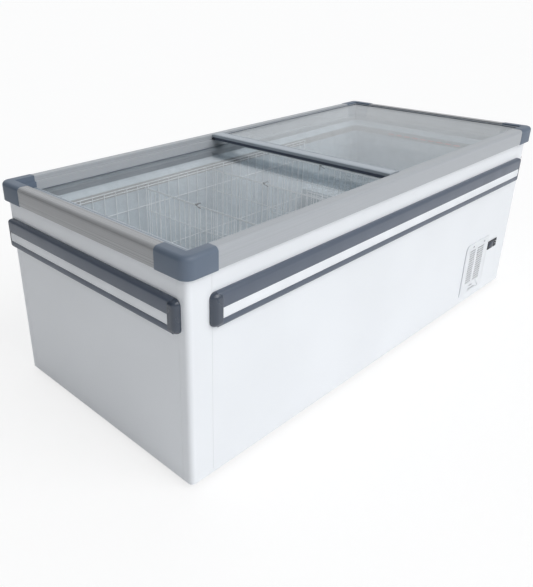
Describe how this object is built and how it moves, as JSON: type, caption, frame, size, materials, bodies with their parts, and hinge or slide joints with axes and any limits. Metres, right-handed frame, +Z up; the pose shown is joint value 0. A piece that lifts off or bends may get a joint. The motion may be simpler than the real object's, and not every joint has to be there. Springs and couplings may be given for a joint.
{
  "type": "island chest freezer",
  "caption": "Long insulated supermarket island freezer with two-level sliding glass lids, extruded rim with corner caps, bumper rails, wire dividers and a machine compartment.",
  "frame": {"origin": "on the floor, under the middle of the freezer's bounding box", "axes": "+X along the length towards the machine compartment, -Y towards the shopper's front with the controller, +Z up"},
  "size_m": [1.9, 0.872, 0.693],
  "materials": {
    "white_paint": "gloss",
    "galvanised": "satin",
    "foam": "matte",
    "liner_paint": "satin",
    "copper": "satin",
    "collar_plastic": "satin",
    "rim_extrusion": "satin",
    "cap_plastic": "gloss",
    "bumper_plastic": "satin",
    "bumper_cap_plastic": "gloss",
    "white_plastic": "gloss",
    "black_plastic": "satin",
    "display": "gloss",
    "key_plastic": "satin",
    "compressor_paint": "satin",
    "grommet_rubber": "matte",
    "fin_aluminium": "satin",
    "motor_steel": "satin",
    "wire_coating": "gloss",
    "lid_glass": "polished",
    "lid_extrusion": "satin",
    "frame_plastic": "satin",
    "foot_plastic": "matte",
    "screw_steel": "satin"
  },
  "bodies": {
    "cabinet": {"base_tray": "galvanised", "front_panel": "white_paint", "back_panel": "white_paint", "left_panel": "white_paint", "right_panel": "white_paint", "corner_posts": "white_paint", "foam_insulation": "foam", "inner_liner": "liner_paint", "evaporator_tube": "copper", "throat_collar": "collar_plastic", "rim_front": "rim_extrusion", "rim_back": "rim_extrusion", "rim_left": "rim_extrusion", "rim_right": "rim_extrusion", "cap_front_left": "cap_plastic", "cap_front_right": "cap_plastic", "cap_back_left": "cap_plastic", "cap_back_right": "cap_plastic", "bumper_front": "bumper_plastic", "bumper_back": "bumper_plastic", "bumper_left": "bumper_plastic", "bumper_right": "bumper_plastic", "bumper_inserts": "white_plastic", "bumper_end_caps": "bumper_cap_plastic", "vent_grille": "white_plastic", "rear_grille": "white_plastic", "controller_housing": "black_plastic", "controller_window": "display", "compressor": "compressor_paint", "compressor_grommets": "grommet_rubber", "terminal_box": "black_plastic", "condenser": "fin_aluminium", "fan_shroud": "galvanised", "fan_motor": "motor_steel", "filter_drier": "copper", "refrigerant_lines": "copper", "temperature_probe": "motor_steel", "power_inlet": "black_plastic", "drain_spout": "black_plastic", "wall_grids": "wire_coating", "screws": "screw_steel"},
    "lower_lid": {"lower_lid_glass": "lid_glass", "lower_lid_frame": "frame_plastic", "lower_lid_handle": "lid_extrusion"},
    "upper_lid": {"upper_lid_glass": "lid_glass", "upper_lid_frame": "frame_plastic", "upper_lid_handle": "lid_extrusion"},
    "divider_left": {"divider_1": "wire_coating"},
    "divider_middle": {"divider_2": "wire_coating"},
    "divider_right": {"divider_3": "wire_coating"},
    "key_set": {"button_set": "key_plastic"},
    "key_up": {"button_up": "key_plastic"},
    "key_down": {"button_down": "key_plastic"},
    "fan": {"fan_blade": "black_plastic"},
    "plug": {"drain_plug": "grommet_rubber"},
    "leveller_front_left": {"foot_front_left": "foot_plastic"},
    "leveller_front_right": {"foot_front_right": "foot_plastic"},
    "leveller_back_left": {"foot_back_left": "foot_plastic"},
    "leveller_back_right": {"foot_back_right": "foot_plastic"}
  },
  "joints": [
    {"name": "lower_lid_slide", "type": "slide", "parent": "cabinet", "child": "lower_lid", "axis": [1, 0, 0], "range_m": [0, 0.847]},
    {"name": "upper_lid_slide", "type": "slide", "parent": "cabinet", "child": "upper_lid", "axis": [-1, 0, 0], "range_m": [0, 0.846]},
    {"name": "divider_left_lift", "type": "slide", "parent": "cabinet", "child": "divider_left", "axis": [0, 0, 1], "range_m": [0, 0.03]},
    {"name": "divider_middle_lift", "type": "slide", "parent": "cabinet", "child": "divider_middle", "axis": [0, 0, 1], "range_m": [0, 0.03]},
    {"name": "divider_right_lift", "type": "slide", "parent": "cabinet", "child": "divider_right", "axis": [0, 0, 1], "range_m": [0, 0.03]},
    {"name": "key_set_press", "type": "slide", "parent": "cabinet", "child": "key_set", "axis": [0, 1, 0], "range_m": [0, 0.0008], "stiffness_N_per_m": 500},
    {"name": "key_up_press", "type": "slide", "parent": "cabinet", "child": "key_up", "axis": [0, 1, 0], "range_m": [0, 0.0008], "stiffness_N_per_m": 500},
    {"name": "key_down_press", "type": "slide", "parent": "cabinet", "child": "key_down", "axis": [0, 1, 0], "range_m": [0, 0.0008], "stiffness_N_per_m": 500},
    {"name": "fan_spin", "type": "hinge", "parent": "cabinet", "child": "fan", "pos_m": [0.645, -0.309, 0.1465], "axis": [0, 1, 0], "continuous": true},
    {"name": "plug_lift", "type": "slide", "parent": "cabinet", "child": "plug", "axis": [0, 0, 1], "range_m": [0, 0.035]},
    {"name": "leveller_front_left_screw", "type": "slide", "parent": "cabinet", "child": "leveller_front_left", "axis": [0, 0, -1], "range_m": [0, 0.015]},
    {"name": "leveller_front_right_screw", "type": "slide", "parent": "cabinet", "child": "leveller_front_right", "axis": [0, 0, -1], "range_m": [0, 0.015]},
    {"name": "leveller_back_left_screw", "type": "slide", "parent": "cabinet", "child": "leveller_back_left", "axis": [0, 0, -1], "range_m": [0, 0.015]},
    {"name": "leveller_back_right_screw", "type": "slide", "parent": "cabinet", "child": "leveller_back_right", "axis": [0, 0, -1], "range_m": [0, 0.015]}
  ]
}
